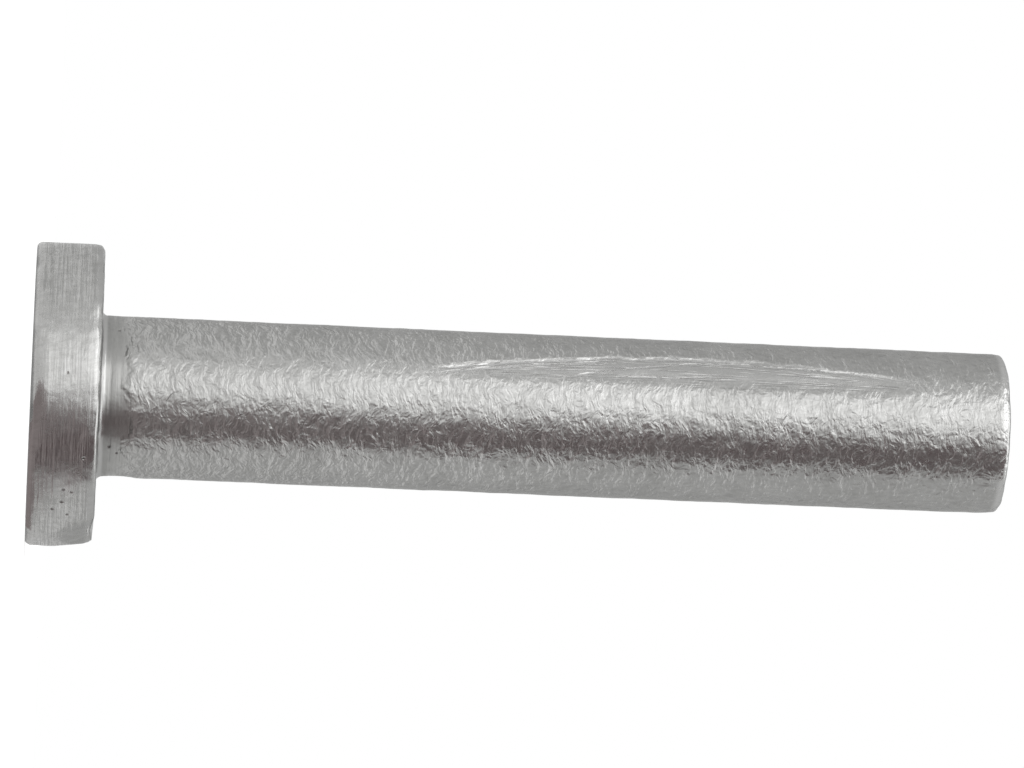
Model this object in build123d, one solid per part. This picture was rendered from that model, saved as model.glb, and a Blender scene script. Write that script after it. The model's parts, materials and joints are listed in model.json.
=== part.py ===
from build123d import *

import os
from math import radians, tan

# A hollow rivet of soft aluminium, headed and drilled from one piece of wire.
# A flat, straight-sided head carries a plain round shank. A blind bore runs up the
# shank from its free end and stops in the solid metal under the head, so that the
# free end can be spread over a plate or a washer.
#
# Millimetres. +Z runs along the shank, from the head to the open end. The origin is
# the centre of the head's outer face, on which the rivet stands.

# Head
head_diameter = 9.4
head_height = 2.1
head_face_edge = 0.18  # rounding between the head's outer face and its rim
head_seat_edge = 0.22  # rounding between the rim and the seat under the head

# Shank
shank_diameter = 5.0
shank_length = 28.2  # from the seat under the head to the open end
neck_fillet = 0.2  # where the shank grows out of the head
end_round = 0.35  # outside of the open end

# Bore
bore_diameter = 3.5
solid_under_head = 2.0  # shank length left undrilled, up to the bore's full width
drill_point_angle = 118.0
mouth_chamfer = 0.15

# An edge break on the open end takes at most this share of the wall there.
outer_share_of_wall = 0.5
inner_share_of_wall = 0.25


def section_corner(sketch, radius, height):
    """The section's corner at this radius from the axis and this height."""
    target = Vector(radius, height)
    return sketch.vertices().sort_by_distance(target)[0]


def rivet_section():
    """Half of the rivet's lengthwise section, with X as the radius and Y as the height."""
    head_radius = head_diameter / 2
    shank_radius = shank_diameter / 2
    bore_radius = bore_diameter / 2
    wall = shank_radius - bore_radius
    open_end = head_height + shank_length
    bore_floor = head_height + solid_under_head
    drill_tip = bore_floor - bore_radius / tan(radians(drill_point_angle / 2))

    outline = Polyline(
        (0, 0),
        (head_radius, 0),
        (head_radius, head_height),
        (shank_radius, head_height),
        (shank_radius, open_end),
        (bore_radius, open_end),
        (bore_radius, bore_floor),
        (0, drill_tip),
        close=True,
    )
    section = make_face(outline)
    section = fillet(section_corner(section, head_radius, 0), head_face_edge)
    section = fillet(section_corner(section, head_radius, head_height), head_seat_edge)
    section = fillet(section_corner(section, shank_radius, head_height), neck_fillet)
    section = fillet(
        section_corner(section, shank_radius, open_end),
        min(end_round, outer_share_of_wall * wall),
    )
    return chamfer(
        section_corner(section, bore_radius, open_end),
        min(mouth_chamfer, inner_share_of_wall * wall),
    )


def rivet_body():
    """The whole rivet: its section turned once round the Z axis."""
    return revolve(Plane.XZ * rivet_section(), axis=Axis.Z)


os.makedirs("parts", exist_ok=True)
export_step(rivet_body(), "parts/rivet_body.step")
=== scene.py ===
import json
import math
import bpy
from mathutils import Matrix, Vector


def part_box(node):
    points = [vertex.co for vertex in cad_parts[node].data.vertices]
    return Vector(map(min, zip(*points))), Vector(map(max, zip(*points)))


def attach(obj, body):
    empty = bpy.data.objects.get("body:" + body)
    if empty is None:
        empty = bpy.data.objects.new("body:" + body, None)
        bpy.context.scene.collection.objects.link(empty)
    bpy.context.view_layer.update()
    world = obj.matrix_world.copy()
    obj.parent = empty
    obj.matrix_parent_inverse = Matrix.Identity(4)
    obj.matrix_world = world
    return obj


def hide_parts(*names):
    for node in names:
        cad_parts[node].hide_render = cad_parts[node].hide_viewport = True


bl_info = {
    "name": "Hollow rivet",
    "version": (1, 0, 0),
    "blender": (4, 5, 0),
    "location": "View3D > Sidebar > Rivet",
    "description": "Builds a tumbled aluminium hollow rivet round its packed frame, with a plain studio",
    "category": "Object",
}

import bpy
from mathutils import Matrix, Vector

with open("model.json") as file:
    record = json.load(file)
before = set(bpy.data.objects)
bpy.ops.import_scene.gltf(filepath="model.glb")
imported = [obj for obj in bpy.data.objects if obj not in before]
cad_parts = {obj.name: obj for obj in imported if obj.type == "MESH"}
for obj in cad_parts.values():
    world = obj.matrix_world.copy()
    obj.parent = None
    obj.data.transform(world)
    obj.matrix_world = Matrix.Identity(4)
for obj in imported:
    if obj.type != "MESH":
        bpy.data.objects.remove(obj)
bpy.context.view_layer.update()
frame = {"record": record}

# The object is modelled in metres, and its sizes are written in millimetres.
MM = 0.001

# ---------------------------------------------------------------- sizes that the frame gives


def mount(name):
    """One of the record's mounts, by name."""
    return next(m for m in frame["record"]["mounts"] if m["name"] == name)


CAD_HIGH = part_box("rivet_body")[1]
HEAD_RADIUS = round(CAD_HIGH.x / MM, 1)
OPEN_END = CAD_HIGH.z / MM
HEAD_HEIGHT = mount("under_head")["pos_m"][2] / MM
SHANK_RADIUS = mount("shank")["dims"]["r_mm"]
BORE_RADIUS = mount("bore")["dims"]["r_mm"]
BORE_LENGTH = mount("bore")["dims"]["length_mm"]

# Zones of the surface, which have a material each.
HEAD, SHANK, BORE = range(3)


def round_axis(angle, height, radius):
    """A point in millimetres. The angle is in degrees round the axis from the front, towards +X."""
    turn = math.radians(angle)
    return (radius * math.sin(turn), -radius * math.cos(turn), height)


# ---------------------------------------------------------------- building node trees


class Web:
    """Adds nodes to a tree and joins them."""

    def __init__(self, tree):
        self.tree = tree

    def add(self, kind, inputs=None, **settings):
        """A new node. inputs maps a socket's name or number to a value or to another node's output."""
        node = self.tree.nodes.new(kind)
        for name, value in settings.items():
            setattr(node, name, value)
        for key, value in (inputs or {}).items():
            self.feed(node.inputs[key], value)
        return node

    def feed(self, socket, value):
        if isinstance(value, bpy.types.NodeSocket):
            self.tree.links.new(value, socket)
        else:
            socket.default_value = value

    def math(self, operation, *values):
        return self.add("ShaderNodeMath", dict(enumerate(values)), operation=operation).outputs[0]

    def vector(self, operation, *values):
        """A vector sum, or the number that it gives where the operation measures something."""
        node = self.add("ShaderNodeVectorMath", dict(enumerate(values)), operation=operation)
        measures = operation in {"LENGTH", "DISTANCE", "DOT_PRODUCT"}
        return node.outputs["Value" if measures else "Vector"]

    def parts(self, vector):
        return self.add("ShaderNodeSeparateXYZ", {0: vector}).outputs

    def joined(self, x, y, z):
        return self.add("ShaderNodeCombineXYZ", {0: x, 1: y, 2: z}).outputs[0]


class ShaderWeb(Web):
    """The few kinds of node that the surface patterns are made of."""

    def noise(self, place, scale, detail=2.0, roughness=0.5, distortion=0.0, colour=False):
        node = self.add(
            "ShaderNodeTexNoise",
            {
                "Vector": place,
                "Scale": scale,
                "Detail": detail,
                "Roughness": roughness,
                "Distortion": distortion,
            },
            noise_dimensions="3D",
        )
        return node.outputs["Color" if colour else "Fac"]

    def ramp(self, value, low, high, out_low=0.0, out_high=1.0, smooth=True):
        """value carried from low..high to out_low..out_high, and held outside that stretch."""
        node = self.add(
            "ShaderNodeMapRange",
            {
                "Value": value,
                "From Min": low,
                "From Max": high,
                "To Min": out_low,
                "To Max": out_high,
            },
            interpolation_type="SMOOTHSTEP" if smooth else "LINEAR",
        )
        return node.outputs["Result"]

    def blend(self, share, first, second):
        """first where share is 0, and second where it is 1: colours."""
        node = self.add("ShaderNodeMix", data_type="RGBA")
        self.feed(node.inputs[0], share)
        self.feed(node.inputs[6], first)
        self.feed(node.inputs[7], second)
        return node.outputs[2]

    def place_mm(self):
        """The point on the piece, in millimetres."""
        coordinate = self.add("ShaderNodeTexCoord").outputs["Object"]
        return self.vector("MULTIPLY", coordinate, (1 / MM,) * 3)

    def group(self, name, **values):
        """One of the shared effects, placed with its own values."""
        node = self.add("ShaderNodeGroup")
        node.node_tree = bpy.data.node_groups[name]
        for key, value in values.items():
            self.feed(node.inputs[key.replace("_", " ")], value)
        return node.outputs


def shader_group(name, inputs, outputs):
    """An empty shader node group with those sockets, its web, its inputs and its output node."""
    tree = bpy.data.node_groups.new(name, "ShaderNodeTree")
    kinds = {"value": "NodeSocketFloat", "vector": "NodeSocketVector", "colour": "NodeSocketColor"}
    for socket, (kind, default) in inputs.items():
        made = tree.interface.new_socket(name=socket, in_out="INPUT", socket_type=kinds[kind])
        if default is not None:
            made.default_value = default
    for socket, kind in outputs.items():
        tree.interface.new_socket(name=socket, in_out="OUTPUT", socket_type=kinds[kind])
    web = ShaderWeb(tree)
    entry = web.add("NodeGroupInput")
    leaving = web.add("NodeGroupOutput")
    return web, entry.outputs, leaving.inputs


# ---------------------------------------------------------------- shared surface effects


def make_tumbled_grain():
    """Short curled strokes that run mostly round the metal, as barrel tumbling leaves them."""
    web, given, out = shader_group(
        "tumbled grain",
        {
            "Place": ("vector", None),
            "Stroke Length": ("value", 0.4),
            "Stroke Width": ("value", 0.15),
            "Wander": ("value", 0.5),
            "Curl": ("value", 0.3),
        },
        {"Height": "value", "Crest": "value"},
    )
    place = given["Place"]
    swirl = web.vector("SUBTRACT", web.noise(place, 1.3, detail=1.0, colour=True), (0.5, 0.5, 0.5))
    reach = web.joined(0.15, 0.15, given["Wander"])
    wandered = web.vector("ADD", place, web.vector("MULTIPLY", swirl, reach))
    across = web.math("DIVIDE", 1.0, given["Stroke Length"])
    along = web.math("DIVIDE", 1.0, given["Stroke Width"])
    stretched = web.vector("MULTIPLY", wandered, web.joined(across, across, along))
    strokes = web.noise(stretched, 1.0, detail=2.0, roughness=0.55, distortion=0.35)
    swell = web.noise(stretched, 0.4, detail=1.0)
    curls = web.noise(wandered, web.math("MULTIPLY", along, 0.72), detail=1.0, distortion=0.9)
    height = web.math("ADD", strokes, web.math("MULTIPLY", swell, 0.8))
    web.feed(out["Height"], web.math("ADD", height, web.math("MULTIPLY", curls, given["Curl"])))
    web.feed(out["Crest"], web.ramp(strokes, 0.5, 0.66))


def make_turned_lines():
    """Fine lines round the axis, as a tool or a die leaves them."""
    web, given, out = shader_group(
        "turned lines",
        {"Place": ("vector", None), "Pitch": ("value", 0.08)},
        {"Height": "value"},
    )
    fine = web.math("DIVIDE", 1.0, given["Pitch"])
    stretched = web.vector("MULTIPLY", given["Place"], web.joined(0.35, 0.35, fine))
    broad = web.math("MULTIPLY", fine, 0.28)
    coarse = web.vector("MULTIPLY", given["Place"], web.joined(0.25, 0.25, broad))
    lines = web.math("MULTIPLY", web.noise(stretched, 1.0, detail=3.0, roughness=0.6), 0.6)
    bands = web.math("MULTIPLY", web.noise(coarse, 1.0, detail=2.0), 0.8)
    web.feed(out["Height"], web.math("ADD", lines, bands))


def make_pits():
    """Scattered small dark pits. Share is how many of the possible places hold one."""
    web, given, out = shader_group(
        "pits",
        {
            "Place": ("vector", None),
            "Spacing": ("value", 0.5),
            "Radius": ("value", 0.06),
            "Share": ("value", 0.2),
        },
        {"Mask": "value"},
    )
    cells = web.add(
        "ShaderNodeTexVoronoi",
        {"Vector": given["Place"], "Scale": web.math("DIVIDE", 1.0, given["Spacing"])},
        voronoi_dimensions="3D",
        feature="F1",
    )
    distance = web.math("MULTIPLY", cells.outputs["Distance"], given["Spacing"])
    chance = web.parts(cells.outputs["Color"])
    size = web.math("MULTIPLY", given["Radius"], web.math("MULTIPLY_ADD", chance[1], 0.8, 0.5))
    inside = web.ramp(distance, size, web.math("MULTIPLY", size, 0.3))
    chosen = web.math("LESS_THAN", chance[0], given["Share"])
    web.feed(out["Mask"], web.math("MULTIPLY", inside, chosen))


def side_place(web, given):
    """How far a point lies across one side of the shank and along it, and 1 on that side of it."""
    across = web.vector("DOT_PRODUCT", given["Place"], given["Across"])
    on_side = web.math("GREATER_THAN", web.vector("DOT_PRODUCT", given["Place"], given["Side"]), 0.0)
    along = web.parts(given["Place"])[2]
    return across, along, on_side


def arched_line(web, given, along):
    """The height across the shank of an arch over it, and 1 between the arch's two ends."""
    from_top = web.math("SUBTRACT", along, given["Top"])
    sag = web.math("MULTIPLY", web.math("MULTIPLY", from_top, from_top), given["Arch"])
    begun = web.ramp(along, given["From"], web.math("ADD", given["From"], 1.2))
    not_over = web.ramp(along, given["To"], web.math("SUBTRACT", given["To"], 1.2))
    return web.math("SUBTRACT", given["Crown"], sag), web.math("MULTIPLY", begun, not_over)


# What a mark on one side of the shank is given: the side that it is on, the direction across the
# shank, and its arch by height across, bend, and top, start and end along the shank, in millimetres.
ON_ONE_SIDE = {
    "Place": ("vector", None),
    "Side": ("vector", (0.0, -1.0, 0.0)),
    "Across": ("vector", (-1.0, 0.0, 0.0)),
    "Crown": ("value", 1.87),
    "Arch": ("value", 0.009),
    "Top": ("value", 20.5),
    "From": ("value", 12.0),
    "To": ("value", 27.5),
}


def make_strand():
    """One long scratch that follows a gentle arch along the shank, broken here and there."""
    web, given, out = shader_group(
        "strand", {**ON_ONE_SIDE, "Width": ("value", 0.08)}, {"Mask": "value"}
    )
    across, along, on_side = side_place(web, given)
    line, window = arched_line(web, given, along)
    away = web.math("SUBTRACT", across, line)
    thread = web.joined(web.math("MULTIPLY", away, 9.0), given["Crown"], along)
    frayed = web.noise(thread, 1.1, detail=3.0, roughness=0.7)
    width = web.math("MULTIPLY", given["Width"], web.ramp(frayed, 0.36, 0.6))
    core = web.ramp(web.math("ABSOLUTE", away), width, web.math("MULTIPLY", width, 0.35))
    web.feed(out["Mask"], web.math("MULTIPLY", web.math("MULTIPLY", core, window), on_side))


def make_rubbed_patch():
    """A patch rubbed smooth between an arch and a straight foot, with fine threads along it."""
    web, given, out = shader_group(
        "rubbed patch",
        {**ON_ONE_SIDE, "Foot": ("value", 1.15), "Fineness": ("value", 9.0)},
        {"Mask": "value", "Thread": "value"},
    )
    across, along, on_side = side_place(web, given)
    line, window = arched_line(web, given, along)
    ragged = web.math("MULTIPLY", web.noise(given["Place"], 1.6, detail=2.0), 0.25)
    above = web.math("SUBTRACT", across, web.math("ADD", line, ragged))
    below = web.math("SUBTRACT", web.math("SUBTRACT", across, given["Foot"]), ragged)
    patch = web.math("MULTIPLY", web.ramp(above, 0.0, -0.15), web.ramp(below, -0.3, 0.1))
    patch = web.math("MULTIPLY", web.math("MULTIPLY", patch, window), on_side)
    span = web.math("MAXIMUM", web.math("SUBTRACT", line, given["Foot"]), 0.1)
    share = web.math("DIVIDE", web.math("SUBTRACT", across, given["Foot"]), span)
    fanned = web.math("MULTIPLY", share, given["Fineness"])
    drawn_out = web.joined(fanned, 0.0, web.math("MULTIPLY", along, 0.35))
    threads = web.noise(drawn_out, 1.0, detail=2.0, roughness=0.6)
    web.feed(out["Mask"], patch)
    web.feed(out["Thread"], web.math("MULTIPLY", web.ramp(threads, 0.52, 0.68), patch))


def make_mottled_film():
    """A thin uneven film on the metal: soft clouds and small dashes, from dull 0 to clean 1."""
    web, given, out = shader_group(
        "mottled film", {"Place": ("vector", None), "Dash": ("value", 0.3)}, {"Mask": "value"}
    )
    place = given["Place"]
    clouds = web.noise(place, 0.55, detail=4.0, roughness=0.6)
    along = web.math("DIVIDE", 1.0, given["Dash"])
    across = web.math("MULTIPLY", along, 2.4)
    slant = web.add("ShaderNodeVectorRotate", {"Vector": place, "Angle": 0.25}, rotation_type="Y_AXIS")
    stretched = web.vector("MULTIPLY", slant.outputs[0], web.joined(across, across, along))
    dashes = web.noise(stretched, 1.0, detail=3.0, roughness=0.65)
    mixed = web.math("ADD", web.math("MULTIPLY", clouds, 0.45), web.math("MULTIPLY", dashes, 0.55))
    web.feed(out["Mask"], web.ramp(mixed, 0.32, 0.68, smooth=False))


def make_spot():
    """One small pit at a set place, added to the mask of the pits before it."""
    web, given, out = shader_group(
        "spot",
        {
            "Place": ("vector", None),
            "Centre": ("vector", None),
            "Radius": ("value", 0.06),
            "Before": ("value", 0.0),
        },
        {"Mask": "value"},
    )
    uneven = web.vector("MULTIPLY", web.noise(given["Place"], 9.0, colour=True), (0.06, 0.06, 0.06))
    apart = web.vector("DISTANCE", web.vector("ADD", given["Place"], uneven), given["Centre"])
    inside = web.ramp(apart, given["Radius"], web.math("MULTIPLY", given["Radius"], 0.3))
    web.feed(out["Mask"], web.math("MAXIMUM", inside, given["Before"]))


def make_shared_effects():
    make_tumbled_grain()
    make_turned_lines()
    make_pits()
    make_strand()
    make_rubbed_patch()
    make_mottled_film()
    make_spot()


# ---------------------------------------------------------------- materials


def new_material(name):
    material = bpy.data.materials.new(name)
    material.use_nodes = True
    material.node_tree.nodes.clear()
    return material, ShaderWeb(material.node_tree)


# How much of the light the bare metal sends back where it is seen nearly edge on.
EDGE_TINT = (0.75, 0.75, 0.75, 1.0)


def metal(web, colour, roughness, height, relief):
    """The metal itself: a bump from height, whose full depth is relief in millimetres."""
    bump = web.add("ShaderNodeBump", {"Height": height, "Strength": 1.0, "Distance": relief * MM})
    shader = web.add(
        "ShaderNodeBsdfPrincipled",
        {
            "Base Color": colour,
            "Metallic": 1.0,
            "Roughness": roughness,
            "Specular Tint": EDGE_TINT,
            "Normal": bump.outputs[0],
        },
    )
    web.add("ShaderNodeOutputMaterial", {"Surface": shader.outputs[0]})


def edge_wear(web):
    """How far the point lies on a rounded corner, from the piece's own attribute. It lightens the metal
    there, both as rubbed metal and as a painted highlight.
    """
    return web.add("ShaderNodeAttribute", attribute_name="edge_wear").outputs["Fac"]


# Half of what a spot's uneven outline adds to its place, in millimetres.
SPOT_WANDER = 0.03


def set_spots(web, place, spots):
    """The mask of the pits at set places."""
    mask = 0.0
    for angle, height, skin, radius in spots:
        x, y, z = round_axis(angle, height, skin)
        centre = (x + SPOT_WANDER, y + SPOT_WANDER, z + SPOT_WANDER)
        mask = web.group("spot", Place=place, Centre=centre, Radius=radius, Before=mask)["Mask"]
    return mask


def ring(web, along, height, half_width):
    """1 on a ring round the shank at that height, fading to 0 at half_width from it."""
    return web.ramp(web.math("ABSOLUTE", web.math("SUBTRACT", along, height)), half_width, 0.0)


# Scratches along the shank's front: (crown, arch, top, from, to, width), as a strand takes them.
FRONT_STRANDS = (
    (1.87, 0.009, 20.5, 12.2, 21.8, 0.085),
    (1.74, 0.0105, 20.0, 12.2, 18.6, 0.085),
    (1.8, 0.0198, 22.0, 16.0, 23.0, 0.06),
    (1.76, 0.009, 22.0, 21.0, 26.2, 0.06),
    (1.3, 0.004, 21.0, 17.5, 22.0, 0.05),
)

# Pits at set places: (angle from the front towards +X, height, radius of the skin, radius of the pit).
SHANK_SPOTS = (
    (38, HEAD_HEIGHT + 0.35, SHANK_RADIUS, 0.07),
    (44, HEAD_HEIGHT + 0.6, SHANK_RADIUS, 0.05),
)
HEAD_SPOTS = (
    (38, 1.12, HEAD_RADIUS, 0.06),
    (39, 1.36, HEAD_RADIUS, 0.05),
    (44, 1.08, HEAD_RADIUS, 0.075),
    (48, 0.8, HEAD_RADIUS, 0.07),
    (51, 1.27, HEAD_RADIUS, 0.065),
    (24, 1.7, HEAD_RADIUS, 0.08),
    (-8, 1.1, HEAD_RADIUS, 0.05),
)


# Heights on the shank: the shallow groove beside the head, the rough edge where the tumbled grain
# starts, and the two ends of the stretch over which it comes in.
GROOVE_HEIGHT = HEAD_HEIGHT + 0.36
BURR_HEIGHT = HEAD_HEIGHT + 1.16
GRAIN_START = HEAD_HEIGHT + 1.1
GRAIN_FULL = HEAD_HEIGHT + 1.35

# The scratch on the side that is away from the camera.
REAR_STRAND = {
    "Side": (0.6, 0.8, 0.0),
    "Across": (-0.8, 0.6, 0.0),
    "Crown": 0.6,
    "Arch": -0.012,
    "Top": 12.0,
    "From": 6.0,
    "To": 18.0,
    "Width": 0.09,
}

# How deep the marks are beside the grain, as a share of its depth.
SCRATCH_DEPTH = 0.35
PIT_DEPTH = 0.35
BURR_RISE = 0.4
GROOVE_DEPTH = 0.12

# How far a pit is darkened towards the pit colour.
PIT_TINT = 0.75


def shank_metal(finish):
    """Tumbled aluminium: grain, calmer beside the head, with a rubbed side, scratches and a few pits.
    Painted shade dulls it towards the head, and a painted highlight lies on its corners and scratches.
    """
    material, web = new_material("shank_metal")
    place = web.place_mm()
    z = web.parts(place)[2]
    grain = web.group(
        "tumbled grain",
        Place=place,
        Stroke_Length=finish.stroke_length,
        Stroke_Width=finish.stroke_width,
    )
    lines = web.group("turned lines", Place=place, Pitch=0.09)
    pits = web.group("pits", Place=place, Spacing=0.7, Radius=0.05, Share=0.08)
    # Painted shade: the shank takes more of the dull colour towards the head, which darkens it there.
    painted_shade_towards_head = web.ramp(z, 2.0, 14.0, 0.55, 1.0)
    film = web.math("MULTIPLY", web.group("mottled film", Place=place)["Mask"], painted_shade_towards_head)
    front = web.group("rubbed patch", Place=place)
    rear = web.group("strand", Place=place, **REAR_STRAND)
    scratches = web.math("MAXIMUM", front["Thread"], rear["Mask"])
    names = ("Crown", "Arch", "Top", "From", "To", "Width")
    for values in FRONT_STRANDS:
        strand = web.group("strand", Place=place, **dict(zip(names, values)))
        scratches = web.math("MAXIMUM", scratches, strand["Mask"])
    pitted = web.math("MAXIMUM", pits["Mask"], set_spots(web, place, SHANK_SPOTS))

    drift = web.math("MULTIPLY", web.noise(place, 1.4, detail=1.0), 0.7)
    drifted = web.math("ADD", z, drift)
    grained = web.ramp(drifted, GRAIN_START, GRAIN_FULL)
    groove = ring(web, web.math("MULTIPLY_ADD", drift, 0.06, z), GROOVE_HEIGHT, 0.1)
    burr = ring(web, drifted, BURR_HEIGHT, 0.16)
    burr = web.math("MULTIPLY", burr, web.ramp(web.noise(place, 2.1, detail=2.0), 0.42, 0.62))
    coarse = web.math("MULTIPLY", grain["Height"], web.math("MULTIPLY_ADD", grained, 0.85, 0.15))
    coarse = web.math("MULTIPLY", coarse, web.math("MULTIPLY_ADD", front["Mask"], -0.8, 1.0))
    line_share = web.math("MULTIPLY_ADD", grained, -0.3, 0.4)
    height = web.math("ADD", coarse, web.math("MULTIPLY", lines["Height"], line_share))
    for mark, rise in (
        (scratches, -SCRATCH_DEPTH),
        (pitted, -PIT_DEPTH),
        (burr, BURR_RISE),
        (groove, -GROOVE_DEPTH),
    ):
        height = web.math("ADD", height, web.math("MULTIPLY", mark, rise))

    # Lighter metal: grain crests, the rubbed patch, the rounded corners and the scratches as rubbed metal.
    # On the corners, the neck fillet and the scratches it is also a painted highlight.
    rubbed_and_sheen = web.math("MULTIPLY", grain["Crest"], web.math("MULTIPLY", grained, 0.1))
    rubbed_and_sheen = web.math("MAXIMUM", rubbed_and_sheen, web.math("MULTIPLY", front["Mask"], 0.3))
    rubbed_and_sheen = web.math("MAXIMUM", rubbed_and_sheen, web.math("MULTIPLY", edge_wear(web), 0.8))
    rubbed_and_sheen = web.math("MAXIMUM", rubbed_and_sheen, web.math("MULTIPLY", scratches, 0.8))
    # The dull colour is partly the grey film, which comes and goes at random. Beside the head, on the calm
    # stretch where the grain has not come in, it is also painted shade.
    clean = web.math("MULTIPLY", film, web.math("MULTIPLY_ADD", grained, 0.8, 0.2))
    colour = web.blend(clean, tuple(finish.film_and_shade_colour), tuple(finish.metal_colour))
    colour = web.blend(rubbed_and_sheen, colour, tuple(finish.rubbed_and_highlight_colour))
    colour = web.blend(web.math("MULTIPLY", pitted, PIT_TINT), colour, tuple(finish.pit_colour))
    roughness = web.ramp(film, 0.0, 1.0, finish.roughness + 0.04, finish.roughness - 0.04)
    roughness = web.math("SUBTRACT", roughness, web.math("MULTIPLY", rubbed_and_sheen, 0.06))
    metal(web, colour, roughness, height, finish.grain_depth)
    return material


def head_metal(finish):
    """The head: drawn lines round its rim, soft clouding and a scatter of pits."""
    material, web = new_material("head_metal")
    place = web.place_mm()
    lines = web.group("turned lines", Place=place, Pitch=0.07)
    grain = web.group("tumbled grain", Place=place, Stroke_Length=0.5, Stroke_Width=0.25, Wander=0.5)
    pits = web.group("pits", Place=place, Spacing=0.6, Radius=0.05, Share=0.12)
    pitted = web.math("MAXIMUM", pits["Mask"], set_spots(web, place, HEAD_SPOTS))
    film = web.group("mottled film", Place=place, Dash=0.4)["Mask"]
    drawn = web.math("MULTIPLY", lines["Height"], 0.4)
    height = web.math("ADD", drawn, web.math("MULTIPLY", grain["Height"], 0.3))
    height = web.math("ADD", height, web.math("MULTIPLY", pitted, -PIT_DEPTH))
    colour = web.blend(film, tuple(finish.film_and_shade_colour), tuple(finish.metal_colour))
    # The head's rounded corners are lighter: rubbed metal and a painted highlight.
    colour = web.blend(web.math("MULTIPLY", edge_wear(web), 0.3), colour, tuple(finish.rubbed_and_highlight_colour))
    colour = web.blend(web.math("MULTIPLY", pitted, PIT_TINT), colour, tuple(finish.pit_colour))
    roughness = web.ramp(film, 0.0, 1.0, finish.roughness - 0.01, finish.roughness - 0.07)
    metal(web, colour, roughness, height, finish.grain_depth)
    return material


def bore_metal(finish):
    """The drilled bore: a darker, oily skin with the drill's rings."""
    material, web = new_material("bore_metal")
    place = web.place_mm()
    lines = web.group("turned lines", Place=place, Pitch=0.16)
    clouds = web.noise(place, 0.9, detail=3.0)
    colour = web.blend(clouds, tuple(finish.pit_colour), tuple(finish.metal_colour))
    roughness = web.ramp(clouds, 0.3, 0.7, 0.42, 0.3)
    metal(web, colour, roughness, lines["Height"], finish.grain_depth * 1.5)
    return material


def seen_directly(web):
    """1 for what the camera sees, straight or in metal or glass, and 0 for the light that bounces on."""
    path = web.add("ShaderNodeLightPath").outputs
    seen = web.math("MAXIMUM", path["Is Camera Ray"], path["Is Glossy Ray"])
    return web.math("MAXIMUM", seen, path["Is Transmission Ray"])


def floor_paper(stage):
    """Matt white paper that shows as white, keeps its shadows and thins out at its rim."""
    material, web = new_material("floor_paper")
    place = web.add("ShaderNodeTexCoord").outputs["Object"]
    diffuse = web.add("ShaderNodeBsdfDiffuse", {"Color": tuple(stage.floor_colour)})
    raised = web.math("MULTIPLY", seen_directly(web), stage.floor_lift)
    lift = web.add("ShaderNodeEmission", {"Strength": raised})
    paper = web.add("ShaderNodeAddShader", {0: diffuse.outputs[0], 1: lift.outputs[0]})
    clear = web.add("ShaderNodeBsdfTransparent")
    out = web.vector("LENGTH", place)
    share = web.ramp(out, stage.floor_radius * 0.8, stage.floor_radius)
    mix = web.add("ShaderNodeMixShader", {0: share, 1: paper.outputs[0], 2: clear.outputs[0]})
    web.add("ShaderNodeOutputMaterial", {"Surface": mix.outputs[0]})
    return material


def backdrop_paper(stage):
    """White paper that is seen at full white."""
    material, web = new_material("backdrop_paper")
    diffuse = web.add("ShaderNodeBsdfDiffuse", {"Color": tuple(stage.floor_colour)})
    white = web.add("ShaderNodeEmission", {"Strength": 1.0})
    mix = web.add("ShaderNodeMixShader", {0: seen_directly(web), 1: diffuse.outputs[0], 2: white.outputs[0]})
    web.add("ShaderNodeOutputMaterial", {"Surface": mix.outputs[0]})
    return material


def foot_glow(stage):
    """A painted reflection: a glowing sheet, seen only in the metal, that stands in for the card as the matt
    floor would mirror it. It is as bright all over as the card looks there, and darker than the floor round
    it.
    """
    material, web = new_material("foot_glow")
    glow = web.add("ShaderNodeEmission", {"Color": tuple(stage.painted_reflection_colour)})
    web.add("ShaderNodeOutputMaterial", {"Surface": glow.outputs[0]})
    return material


def card_felt(stage):
    """Dark matt felt that the metal reflects as its shaded side."""
    material, web = new_material("card_felt")
    diffuse = web.add("ShaderNodeBsdfDiffuse", {"Color": tuple(stage.card_colour)})
    web.add("ShaderNodeOutputMaterial", {"Surface": diffuse.outputs[0]})
    return material


# ---------------------------------------------------------------- the rivet's section


def run(start, end, step):
    """Points from start to end, without end, at most step apart."""
    count = max(1, math.ceil((Vector(end) - Vector(start)).length / step))
    return [tuple(Vector(start).lerp(Vector(end), i / count)) for i in range(count)]


def arc(centre, radius, start, end, steps):
    """Points on an arc between two angles in degrees, without the last."""
    angles = [math.radians(start + (end - start) * i / steps) for i in range(steps)]
    return [(centre[0] + radius * math.cos(a), centre[1] + radius * math.sin(a)) for a in angles]


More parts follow.
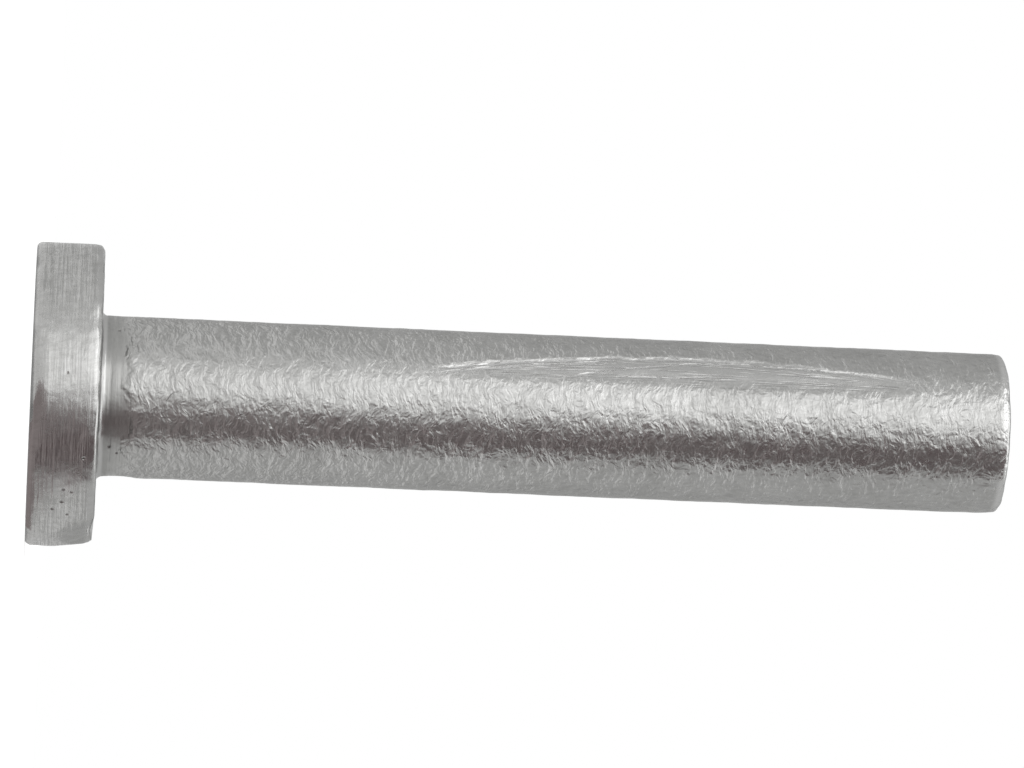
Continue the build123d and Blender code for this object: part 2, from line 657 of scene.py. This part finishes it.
def rivet_section(shape):
    """Half of the lengthwise section as (radius, height, zone, relief, edge) points, in millimetres.
    relief is how much of the surface's unevenness a point takes, and edge is 1 on a rounded corner."""
    face_edge, seat_edge = shape.face_edge, shape.seat_edge
    neck, lip = shape.neck_fillet, shape.end_round
    face_rim = HEAD_RADIUS - face_edge
    seat_rim = HEAD_RADIUS - seat_edge
    seat_start = HEAD_HEIGHT - seat_edge
    neck_rim = SHANK_RADIUS + neck
    neck_top = HEAD_HEIGHT + neck
    lip_rim = SHANK_RADIUS - lip
    lip_start = OPEN_END - lip
    mouth_rim = BORE_RADIUS + shape.mouth_chamfer
    mouth = OPEN_END - shape.mouth_chamfer
    bore_floor = mouth - BORE_LENGTH
    drill_tip = bore_floor - BORE_RADIUS / math.tan(math.radians(shape.drill_angle / 2))
    face_step, rim_step, seat_step = 0.3, 0.13, 0.22
    shank_step, lip_step, bore_step = 0.145, 0.1, 0.6
    # The last column lightens the metal's colour: rubbed metal on the rounded corners, and a painted
    # highlight on them, on the neck fillet and on the open end.
    stretches = [
        (run((0, 0), (face_rim, 0), face_step), HEAD, 0.25, 0),
        (arc((face_rim, face_edge), face_edge, -90, 0, 5), HEAD, 0.8, 1),
        (run((HEAD_RADIUS, face_edge), (HEAD_RADIUS, seat_start), rim_step), HEAD, 1, 0),
        (arc((seat_rim, seat_start), seat_edge, 0, 90, 6), HEAD, 1, 1),
        (run((seat_rim, HEAD_HEIGHT), (neck_rim, HEAD_HEIGHT), seat_step), HEAD, 0.6, 0),
        (arc((neck_rim, neck_top), neck, 270, 180, 5), SHANK, 0.6, 0.7),
        (run((SHANK_RADIUS, neck_top), (SHANK_RADIUS, lip_start), shank_step), SHANK, 1, 0),
        (arc((lip_rim, lip_start), lip, 0, 90, 8), SHANK, 1, 1),
        (run((lip_rim, OPEN_END), (mouth_rim, OPEN_END), lip_step), SHANK, 0.7, 0.6),
        (run((mouth_rim, OPEN_END), (BORE_RADIUS, mouth), lip_step), SHANK, 0.5, 0.4),
        (run((BORE_RADIUS, mouth), (BORE_RADIUS, bore_floor), bore_step), BORE, 0.2, 0),
        (run((BORE_RADIUS, bore_floor), (0, drill_tip), bore_step / 2), BORE, 0.2, 0),
        ([(0, drill_tip)], BORE, 0, 0),
    ]
    return [(*point, *kind) for points, *kind in stretches for point in points]


def section_mesh(shape):
    """The section as a chain of vertices that carry their zone, relief and edge."""
    points = rivet_section(shape)
    links = [(i, i + 1) for i in range(len(points) - 1)]
    mesh = bpy.data.meshes.new("rivet_section")
    mesh.from_pydata([(radius * MM, 0, height * MM) for radius, height, *_ in points], links, [])
    for column, name in enumerate(("zone", "relief", "edge_wear"), start=2):
        attribute = mesh.attributes.new(name, "FLOAT", "POINT")
        attribute.data.foreach_set("value", [float(p[column]) for p in points])
    return mesh


# ---------------------------------------------------------------- geometry nodes


class ShapeWeb(Web):
    """The few kinds of geometry node that the rivet's tree is made of."""

    def position(self):
        return self.add("GeometryNodeInputPosition").outputs[0]

    def scaled(self, vector, factor):
        node = self.add("ShaderNodeVectorMath", {0: vector, "Scale": factor}, operation="SCALE")
        return node.outputs["Vector"]

    def named(self, name):
        node = self.add("GeometryNodeInputNamedAttribute", {"Name": name}, data_type="FLOAT")
        return node.outputs[0]

    def noise(self, place, scale, detail=2.0):
        """Noise round zero."""
        node = self.add(
            "ShaderNodeTexNoise",
            {"Vector": place, "Scale": scale, "Detail": detail},
            noise_dimensions="3D",
        )
        return self.math("SUBTRACT", node.outputs["Fac"], 0.5)


# Knocks that the skin has taken: (angle from the front towards +X, height, radius, reach, depth,
# flatness), in degrees and millimetres. A flat knock reaches less far up and down than round the axis.
KNOCKS = (
    (-16, 0.0, HEAD_RADIUS, 1.2, 0.05, 3.0),
    (2, 0.0, HEAD_RADIUS, 1.3, 0.08, 3.0),
    (14, 0.0, HEAD_RADIUS, 1.0, 0.07, 3.0),
    (40, 0.0, HEAD_RADIUS, 0.6, 0.04, 3.0),
    (68, HEAD_HEIGHT, HEAD_RADIUS, 1.2, 0.18, 1.0),
    (92, HEAD_HEIGHT, HEAD_RADIUS, 1.3, 0.25, 1.0),
    (118, HEAD_HEIGHT, HEAD_RADIUS, 1.2, 0.18, 1.0),
    (-62, 0.0, HEAD_RADIUS, 0.6, 0.05, 2.0),
    (-30, HEAD_HEIGHT, HEAD_RADIUS, 0.5, 0.04, 1.0),
    (150, HEAD_HEIGHT, HEAD_RADIUS, 0.8, 0.08, 1.0),
    (200, 0.0, HEAD_RADIUS, 0.8, 0.07, 2.0),
    (250, HEAD_HEIGHT, HEAD_RADIUS, 0.6, 0.06, 1.0),
    (92, HEAD_HEIGHT + 0.66, SHANK_RADIUS, 0.62, 0.2, 1.0),
    (96, OPEN_END, SHANK_RADIUS, 0.8, 0.05, 1.0),
    (170, OPEN_END, SHANK_RADIUS, 0.6, 0.05, 1.0),
)
# The share of its reach over which a knock has its full depth.
KNOCK_CORE = 0.15


def rivet_tree(materials):
    """Turns the section once round the axis, roughens the skin and knocks its edges."""
    tree = bpy.data.node_groups.new("rivet_form", "GeometryNodeTree")
    sockets = (
        ("Section", "NodeSocketGeometry", None),
        ("Points", "NodeSocketInt", 100),
        ("Sides", "NodeSocketInt", 240),
        ("Swell", "NodeSocketFloat", 0.0),
        ("Ripple", "NodeSocketFloat", 0.0),
        ("Edge Waver", "NodeSocketFloat", 0.0),
    )
    for name, kind, default in sockets:
        made = tree.interface.new_socket(name=name, in_out="INPUT", socket_type=kind)
        if default is not None:
            made.default_value = default
    tree.interface.new_socket(name="Rivet", in_out="OUTPUT", socket_type="NodeSocketGeometry")
    web = ShapeWeb(tree)
    given = web.add("NodeGroupInput").outputs

    # A flat grid with a row for each side and a column for each point of the section.
    last_point = web.math("SUBTRACT", given["Points"], 1)
    sides_edge = web.math("ADD", given["Sides"], 1)
    grid = web.add(
        "GeometryNodeMeshGrid",
        {
            "Size X": last_point,
            "Size Y": given["Sides"],
            "Vertices X": given["Points"],
            "Vertices Y": sides_edge,
        },
    )
    flat = web.parts(web.position())
    column = web.math("ROUND", web.math("MULTIPLY_ADD", last_point, 0.5, flat[0]))
    row = web.math("ROUND", web.math("MULTIPLY_ADD", given["Sides"], 0.5, flat[1]))
    turn = web.math("MULTIPLY", web.math("DIVIDE", row, given["Sides"]), 2 * math.pi)

    def at_point(value, kind):
        node = web.add("GeometryNodeSampleIndex", data_type=kind, domain="POINT")
        web.feed(node.inputs["Geometry"], given["Section"])
        web.feed(node.inputs["Value"], value)
        web.feed(node.inputs["Index"], column)
        return node.outputs[0]

    sheet = grid.outputs["Mesh"]
    for name in ("zone", "relief", "edge_wear"):
        sheet = web.add(
            "GeometryNodeStoreNamedAttribute",
            {"Geometry": sheet, "Name": name, "Value": at_point(web.named(name), "FLOAT")},
            data_type="FLOAT",
            domain="POINT",
        ).outputs[0]
    radius, _, height = web.parts(at_point(web.position(), "FLOAT_VECTOR"))
    to_right = web.math("MULTIPLY", radius, web.math("SINE", turn))
    to_rear = web.math("MULTIPLY", radius, web.math("MULTIPLY", web.math("COSINE", turn), -1.0))
    round_place = web.joined(to_right, to_rear, height)
    turned = web.add("GeometryNodeSetPosition", {"Geometry": sheet, "Position": round_place})
    merged = web.add("GeometryNodeMergeByDistance", {"Geometry": turned.outputs[0], "Distance": 1e-6})
    closed = web.add("GeometryNodeFlipFaces", {"Mesh": merged.outputs[0]})

    # Unevenness along the surface's normal, in millimetres.
    place = web.scaled(web.position(), 1 / MM)
    swell = web.math("MULTIPLY", web.noise(place, 0.7), given["Swell"])
    ripple = web.math("MULTIPLY", web.noise(place, 2.4, detail=3.0), given["Ripple"])
    worn_back = web.math("SUBTRACT", web.noise(place, 1.5, detail=3.0), 0.22)
    waver = web.math("MULTIPLY", worn_back, given["Edge Waver"])
    on_corners = web.math("MULTIPLY", waver, web.named("edge_wear"))
    uneven = web.math("ADD", web.math("ADD", swell, ripple), on_corners)
    for *where, reach, depth, flatness in KNOCKS:
        away = web.vector("SUBTRACT", place, round_axis(*where))
        apart = web.vector("LENGTH", web.vector("MULTIPLY", away, (1.0, 1.0, flatness)))
        dent = web.add(
            "ShaderNodeMapRange",
            {
                "Value": apart,
                "From Min": reach,
                "From Max": KNOCK_CORE * reach,
                "To Min": 0.0,
                "To Max": depth,
            },
            interpolation_type="SMOOTHSTEP",
        ).outputs["Result"]
        uneven = web.math("SUBTRACT", uneven, dent)
    push = web.math("MULTIPLY", web.math("MULTIPLY", uneven, web.named("relief")), MM)
    offset = web.scaled(web.add("GeometryNodeInputNormal").outputs[0], push)
    shaped = web.add("GeometryNodeSetPosition", {"Geometry": closed.outputs[0], "Offset": offset})
    # Nothing reaches below the face that the rivet stands on.
    x, y, z = web.parts(web.position())
    level = web.joined(x, y, web.math("MAXIMUM", z, 0.0))
    settled = web.add("GeometryNodeSetPosition", {"Geometry": shaped.outputs[0], "Position": level})

    smooth = web.add("GeometryNodeSetShadeSmooth", {"Geometry": settled.outputs[0]})
    real = web.add("GeometryNodeRealizeInstances", {"Geometry": smooth.outputs[0]})
    finished = real.outputs[0]
    for zone, material in enumerate(materials):
        near = web.math("COMPARE", web.named("zone"), float(zone), 0.6)
        finished = web.add(
            "GeometryNodeSetMaterial", {"Geometry": finished, "Selection": near, "Material": material}
        ).outputs[0]
    web.add("NodeGroupOutput", {0: finished})
    return tree


def set_modifier_input(modifier, name, value):
    """Sets a geometry nodes input by its socket's identifier."""
    items = modifier.node_group.interface.items_tree
    socket = next(i for i in items if i.in_out == "INPUT" and i.name == name)
    modifier[socket.identifier] = value


def plain_mesh(piece):
    """Freezes the piece's modifiers into its mesh, and removes them."""
    depsgraph = bpy.context.evaluated_depsgraph_get()
    made = bpy.data.meshes.new_from_object(piece.evaluated_get(depsgraph), depsgraph=depsgraph)
    piece.modifiers.clear()
    piece.data = made
    made.name = piece.name


# ---------------------------------------------------------------- properties


def colour_property(name, description, default):
    return bpy.props.FloatVectorProperty(
        name=name,
        description=description,
        subtype="COLOR",
        size=4,
        min=0,
        max=1,
        default=(*default, 1.0),
    )


def number_property(name, description, default, **more):
    return bpy.props.FloatProperty(name=name, description=description, default=default, **more)


class RivetShape(bpy.types.PropertyGroup):
    """Sizes of the rivet's corners and of its unevenness, in millimetres."""

    face_edge: number_property("Face edge", "Rounding between the head's outer face and its rim, mm", 0.15)
    seat_edge: number_property("Seat edge", "Rounding between the rim and the seat under the head, mm", 0.18)
    neck_fillet: number_property("Neck fillet", "Fillet where the shank meets the head, mm", 0.2)
    end_round: number_property("End round", "Rounding on the outside of the open end, mm", 0.2)
    mouth_chamfer: number_property("Mouth chamfer", "Bevel inside the open end, mm", 0.15)
    drill_angle: number_property("Drill angle", "Point angle at the bottom of the bore, degrees", 118.0)
    swell: number_property("Swell", "Height of the slow unevenness of the skin, mm", 0.05)
    ripple: number_property("Ripple", "Height of the finer unevenness of the skin, mm", 0.034)
    edge_waver: number_property("Edge waver", "How far the rounded corners waver, mm", 0.1)
    sides: bpy.props.IntProperty(
        name="Sides", description="Facets round the axis", default=240, min=24, max=360
    )


class RivetFinish(bpy.types.PropertyGroup):
    """Colours and finish of the bare metal."""

    metal_colour: colour_property("Metal", "Clean tumbled aluminium", (0.46, 0.46, 0.454))
    # The dull colour is the grey film, and on the shank beside the head it is also painted shade.
    film_and_shade_colour: colour_property("Dull metal", "Aluminium with a grey film", (0.33, 0.33, 0.323))
    # The lighter colour is rubbed metal on crests and corners. It is also a painted highlight on the
    # corners, the neck fillet and the scratches.
    rubbed_and_highlight_colour: colour_property("Bright metal", "Rubbed crests and corners", (0.6, 0.6, 0.595))
    # Pits are darkened towards this colour, and the bore is mottled with it.
    pit_colour: colour_property("Pits", "Dirt held in pits", (0.12, 0.11, 0.105))
    roughness: number_property("Roughness", "Roughness of the skin", 0.3, min=0, max=1, subtype="FACTOR")
    grain_depth: number_property("Grain depth", "Depth of the tumbled grain, mm", 0.05)
    stroke_length: number_property("Stroke length", "Length scale of one stroke of the grain, mm", 0.33)
    stroke_width: number_property("Stroke width", "Width scale of one stroke of the grain, mm", 0.16)


class RivetStage(bpy.types.PropertyGroup):
    """The plain studio round the rivet."""

    floor_colour: colour_property("Floor", "Floor and backdrop paper", (0.8, 0.8, 0.8))
    floor_lift: number_property("Floor lift", "How far the floor is raised to white", 0.36)
    floor_radius: number_property("Floor radius", "Radius of the floor paper, m", 0.2)
    card_colour: colour_property("Card", "Dark card beside the camera", (0.17, 0.132, 0.134))
    # Colour of the glowing sheet that paints the card's reflection on the floor into the metal.
    painted_reflection_colour: colour_property("Card's foot", "The card as the floor mirrors it", (0.42, 0.365, 0.365))
    world_grey: colour_property("Surroundings", "Even light of the room", (0.72, 0.72, 0.715))
    key_strength: number_property("Key", "Brightness of the tall soft lamp", 1.12)
    high_strength: number_property("High", "Brightness of the wide lamp above the tall one", 1.5)
    over_strength: number_property("Over", "Brightness of the lamp above the camera", 0.8)
    fill_strength: number_property("Fill", "Brightness of the side lamp", 0.3)
    top_strength: number_property("Top", "Brightness of the lamp overhead", 1.0)
    lens: number_property("Lens", "Focal length, mm", 202.9)


# ---------------------------------------------------------------- operators


def link(obj):
    bpy.context.scene.collection.objects.link(obj)
    return obj


class RIVET_OT_body(bpy.types.Operator):
    """Make the rivet: its turned and knocked skin, with a metal for the head, the shank and the bore"""

    bl_idname = "rivet.body"
    bl_label = "Make rivet"

    def execute(self, context):
        shape, finish = context.scene.rivet_shape, context.scene.rivet_finish
        make_shared_effects()
        materials = [head_metal(finish), shank_metal(finish), bore_metal(finish)]
        section = section_mesh(shape)
        piece = link(bpy.data.objects.new("rivet", section))
        modifier = piece.modifiers.new("form", "NODES")
        modifier.node_group = rivet_tree(materials)
        set_modifier_input(modifier, "Points", len(section.vertices))
        set_modifier_input(modifier, "Sides", shape.sides)
        set_modifier_input(modifier, "Swell", shape.swell)
        set_modifier_input(modifier, "Ripple", shape.ripple)
        set_modifier_input(modifier, "Edge Waver", shape.edge_waver)
        plain_mesh(piece)
        if not piece.data.polygons:
            raise RuntimeError("the rivet's section turned into no faces")
        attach(piece, "root")
        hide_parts("rivet_body")
        return {"FINISHED"}


def sheet_mesh(name, width, height):
    """A flat rectangle round its own origin, facing +Z."""
    mesh = bpy.data.meshes.new(name)
    x, y = width / 2, height / 2
    mesh.from_pydata([(-x, -y, 0), (x, -y, 0), (x, y, 0), (-x, y, 0)], [], [(0, 1, 2, 3)])
    return mesh


def facing(place, target, front="Z"):
    """A matrix that puts something at place, with that axis of its own towards target."""
    turn = (Vector(target) - Vector(place)).to_track_quat(front, "Y")
    return Matrix.Translation(place) @ turn.to_matrix().to_4x4()


def around(angle, distance, height):
    """A place round the rivet: the angle is from the front, towards -X."""
    turn = math.radians(angle)
    return Vector((-distance * math.sin(turn), -distance * math.cos(turn), height))


def soft_lamp(name, place, target, width, height, strength):
    """A rectangular lamp with that brightness over its whole face."""
    data = bpy.data.lights.new(name, "AREA")
    data.shape = "RECTANGLE"
    data.size, data.size_y = width, height
    data.energy = strength * math.pi * width * height
    lamp = link(bpy.data.objects.new(name, data))
    lamp.matrix_world = facing(place, target, "-Z")
    lamp.visible_camera = False


# The lamps: (name, angle round the rivet towards -X, distance, height, width, length), in degrees
# and metres.
LAMPS = (
    ("key", 26.5, 0.35, 0.06, 0.265, 0.26),
    ("high", 34, 0.35, 0.32, 0.46, 0.26),
    ("over", -3, 0.35, 0.15, 0.1, 0.12),
    ("fill", 61, 0.35, 0.13, 0.16, 0.16),
    ("top", 0, 0.0, 0.45, 0.4, 0.4),
)

# The card's outline: (angle round the rivet towards -X, height). Its edge next to the camera leans
# away from the camera up to 75 mm.
CARD_DISTANCE = 0.35
CARD_OUTLINE = (
    (-2, -0.05),
    (-2, 0.0),
    (-9, 0.045),
    (-23, 0.075),
    (-23, 0.6),
    (-62.5, 0.6),
    (-62.5, -0.05),
)

# A glowing sheet that paints the card's reflection on the floor, seen only in the metal: it opens from near
# the rivet towards the card, and lies just above the floor. Angles are in degrees and lengths in metres.
REFLECTION_SHEET_DIRECTION = 33
REFLECTION_SHEET_HALF_ANGLE = 22
REFLECTION_SHEET_START = 0.004
REFLECTION_SHEET_LENGTH = 0.18
REFLECTION_SHEET_RISE = 0.00002

BACKDROP_WIDTH = 0.12
BACKDROP_HEIGHT = 0.16
BACKDROP_PLACE = (0, 0.3, 0.04)

# The camera, in millimetres, and how far the rivet's axis slopes down to the right in the picture.
CAMERA_PLACE = (0, -179.45, 1.0)
CAMERA_AIM = (-0.92, 0, 14.92)
CAMERA_SLOPE = 2.465


def card_mesh():
    """The upright card beside the camera."""
    mesh = bpy.data.meshes.new("card")
    corners = [around(angle, CARD_DISTANCE, height) for angle, height in CARD_OUTLINE]
    mesh.from_pydata(corners, [], [range(len(corners))])
    return mesh


def painted_reflection_mesh():
    """The glowing sheet that paints the card's reflection on the floor."""
    spread = math.tan(math.radians(REFLECTION_SHEET_HALF_ANGLE))
    near, far = REFLECTION_SHEET_START, REFLECTION_SHEET_START + REFLECTION_SHEET_LENGTH
    corners = [
        (side * spread * (out + REFLECTION_SHEET_START), out, REFLECTION_SHEET_RISE)
        for side, out in ((-1, near), (1, near), (1, far), (-1, far))
    ]
    mesh = bpy.data.meshes.new("card_foot")
    mesh.from_pydata(corners, [], [range(len(corners))])
    mesh.transform(Matrix.Rotation(math.radians(180 + REFLECTION_SHEET_DIRECTION), 4, "Z"))
    return mesh


class RIVET_OT_stage(bpy.types.Operator):
    """Set the floor, the backdrop, the card, the lamps and the camera"""

    bl_idname = "rivet.stage"
    bl_label = "Set stage"

    def execute(self, context):
        stage = context.scene.rivet_stage
        self.papers(stage)
        self.lights(context.scene, stage)
        self.camera(context.scene, stage)
        context.scene.view_settings.view_transform = "Standard"
        return {"FINISHED"}

    def papers(self, stage):
        """The floor and the backdrop, the dark card that the metal reflects as its shaded side, and the
        glowing sheet that paints the card's reflection on the floor.
        """
        across = stage.floor_radius * 2
        floor = link(bpy.data.objects.new("floor", sheet_mesh("floor", across, across)))
        floor.data.materials.append(floor_paper(stage))
        sheet = sheet_mesh("backdrop", BACKDROP_WIDTH, BACKDROP_HEIGHT)
        backdrop = link(bpy.data.objects.new("backdrop", sheet))
        backdrop.data.materials.append(backdrop_paper(stage))
        backdrop.matrix_world = facing(BACKDROP_PLACE, (0, 0, BACKDROP_PLACE[2]))
        card = link(bpy.data.objects.new("card", card_mesh()))
        card.data.materials.append(card_felt(stage))
        # A glowing sheet just above the floor paints the card's reflection on it. It is darker than the
        # floor, and shows only in the metal.
        foot = link(bpy.data.objects.new("card_foot", painted_reflection_mesh()))
        foot.data.materials.append(foot_glow(stage))
        foot.visible_camera = False
        foot.visible_diffuse = False
        foot.visible_shadow = False

    def lights(self, scene, stage):
        """The lamps, which all point at the rivet's middle, and the even light of the room."""
        middle = Vector((0, 0, OPEN_END * MM / 2))
        for name, angle, distance, height, width, length in LAMPS:
            strength = getattr(stage, f"{name}_strength")
            soft_lamp(name, around(angle, distance, height), middle, width, length, strength)
        world = bpy.data.worlds.new("room")
        world.use_nodes = True
        world.node_tree.nodes["Background"].inputs["Color"].default_value = tuple(stage.world_grey)
        scene.world = world

    def camera(self, scene, stage):
        """The rivet lies across the picture with its head to the left, a little turned."""
        place = Vector(CAMERA_PLACE) * MM
        aim = Vector(CAMERA_AIM) * MM
        slope = math.radians(CAMERA_SLOPE)
        forward = (aim - place).normalized()
        along = Vector((0, 0, 1)) - forward * forward.z
        along.normalize()
        over = along.cross(forward)
        right = along * math.cos(slope) + over * math.sin(slope)
        up = right.cross(forward)
        data = bpy.data.cameras.new("camera")
        data.lens = stage.lens
        data.sensor_width = 36.0
        data.clip_start, data.clip_end = 0.005, 5.0
        camera = link(bpy.data.objects.new("camera", data))
        turn = Matrix((right, up, -forward)).transposed().to_4x4()
        camera.matrix_world = Matrix.Translation(place) @ turn
        scene.camera = camera


class RIVET_PT_panel(bpy.types.Panel):
    """Sizes, finish and stage of the rivet"""

    bl_label = "Hollow rivet"
    bl_idname = "RIVET_PT_panel"
    bl_space_type = "VIEW_3D"
    bl_region_type = "UI"
    bl_category = "Rivet"

    def draw(self, context):
        for title, name in (("Shape", "rivet_shape"), ("Finish", "rivet_finish"), ("Stage", "rivet_stage")):
            box = self.layout.box()
            box.label(text=title)
            group = getattr(context.scene, name)
            for key in group.__annotations__:
                box.prop(group, key)
        self.layout.operator(RIVET_OT_body.bl_idname)
        self.layout.operator(RIVET_OT_stage.bl_idname)


CLASSES = (RivetShape, RivetFinish, RivetStage, RIVET_OT_body, RIVET_OT_stage, RIVET_PT_panel)


def register():
    for cls in CLASSES:
        bpy.utils.register_class(cls)
    bpy.types.Scene.rivet_shape = bpy.props.PointerProperty(type=RivetShape)
    bpy.types.Scene.rivet_finish = bpy.props.PointerProperty(type=RivetFinish)
    bpy.types.Scene.rivet_stage = bpy.props.PointerProperty(type=RivetStage)


def unregister():
    del bpy.types.Scene.rivet_stage
    del bpy.types.Scene.rivet_finish
    del bpy.types.Scene.rivet_shape
    for cls in reversed(CLASSES):
        bpy.utils.unregister_class(cls)


def main():
    register()
    bpy.ops.rivet.body()
    bpy.ops.rivet.stage()


if __name__ == "__main__":
    main()
